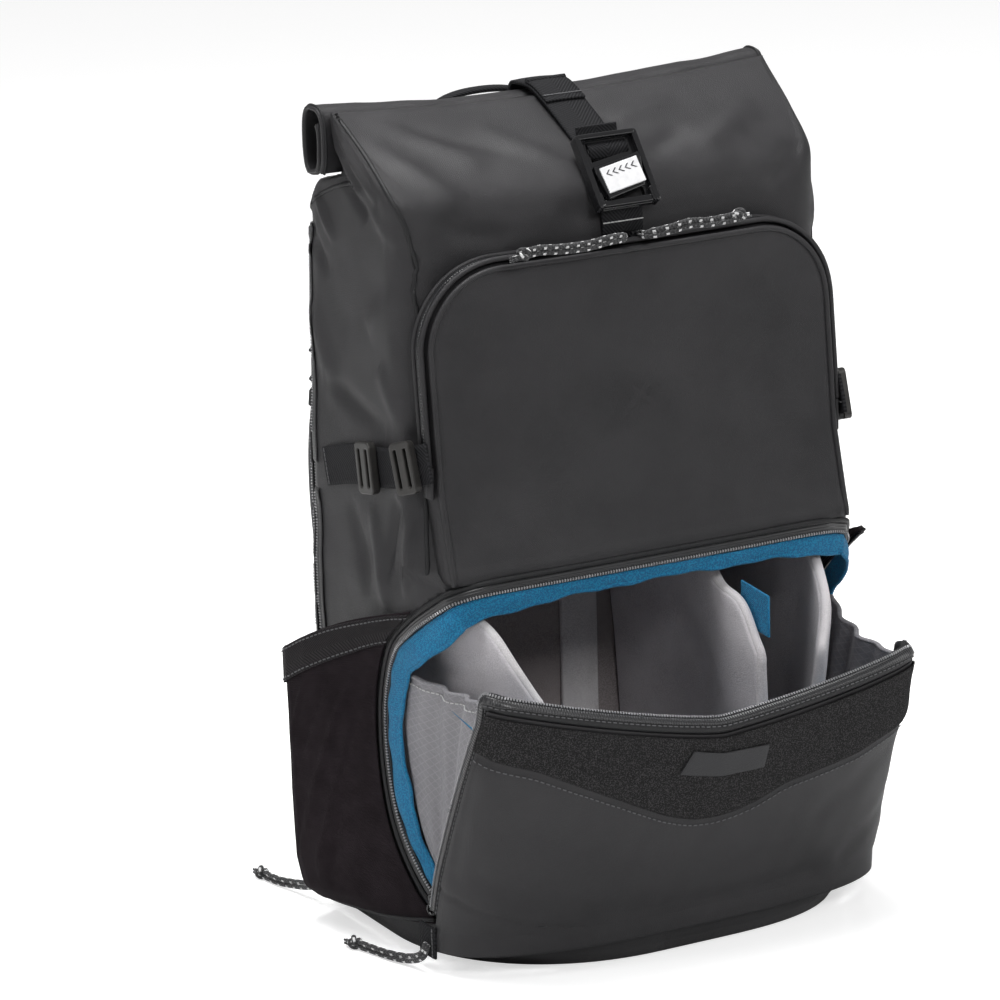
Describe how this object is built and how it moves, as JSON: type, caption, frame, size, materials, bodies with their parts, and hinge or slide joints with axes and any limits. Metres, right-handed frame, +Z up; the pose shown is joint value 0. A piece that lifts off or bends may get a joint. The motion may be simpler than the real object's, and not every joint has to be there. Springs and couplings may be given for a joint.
{
  "type": "roll-top camera backpack",
  "caption": "Upright soft backpack with a rolled and strapped mouth, zipped front pocket, stretch side pockets and a lower padded camera compartment shown open, its flap tipped forward",
  "frame": {"origin": "middle of the flat base", "axes": "+Z up, +X to the right seen from the bag's front, -Y out of the front, +Y towards the wearer's back"},
  "size_m": [0.34, 0.2728, 0.468],
  "materials": {
    "coated": "matte coated charcoal cloth with a soft sheen",
    "stretch": "dull near-black stretch knit",
    "felt": "heathered black felt",
    "blue": "blue woven lining",
    "divider": "brushed grey tricot over foam",
    "ripstop": "thin grey ripstop cloth",
    "webbing": "black twill webbing",
    "zip": "coated zip tape with coil teeth",
    "plastic": "glossy black moulded plastic",
    "plate": "satin silver plate",
    "mesh": "black spacer mesh over foam",
    "cord": "black braided cord with pale flecks"
  },
  "bodies": {
    "root": {"body_shell": "coated", "roll_top": "coated", "front_pocket": "coated", "front_pocket_zip": "zip", "zip_garage_left": "coated", "zip_garage_right": "coated", "flap": "coated", "flap_yoke": "felt", "flap_rim": "zip", "flap_lining": "blue", "badge": "felt", "compartment_zip": "zip", "lining_band": "blue", "gusset_left": "ripstop", "gusset_right": "ripstop", "camera_insert": "divider", "divider_left": "divider", "divider_right": "divider", "divider_centre": "divider", "divider_fold": "divider", "divider_tab": "blue", "laptop_partition": "divider", "laptop_zip": "zip", "side_pocket_left": "stretch", "side_pocket_right": "stretch", "pocket_band_left": "webbing", "pocket_band_right": "webbing", "strap_left": "webbing", "strap_right": "webbing", "buckle_left_rear": "plastic", "buckle_left_front": "plastic", "buckle_right_rear": "plastic", "buckle_right_front": "plastic", "top_strap": "webbing", "top_buckle_frame": "plastic", "top_buckle_plate": "plate", "lower_webbing": "webbing", "back_panel": "mesh", "shoulder_strap_left": "mesh", "shoulder_strap_right": "mesh", "strap_webbing_left": "webbing", "strap_webbing_right": "webbing", "grab_handle": "webbing", "zip_tab_left": "webbing", "zip_tab_right": "webbing", "slider_pocket_left": "plastic", "slider_pocket_right": "plastic", "slider_flap_left": "plastic", "slider_laptop": "plastic", "cord_pocket_left": "cord", "cord_pocket_right": "cord", "cord_flap_left": "cord", "cord_laptop": "cord"}
  },
  "joints": []
}
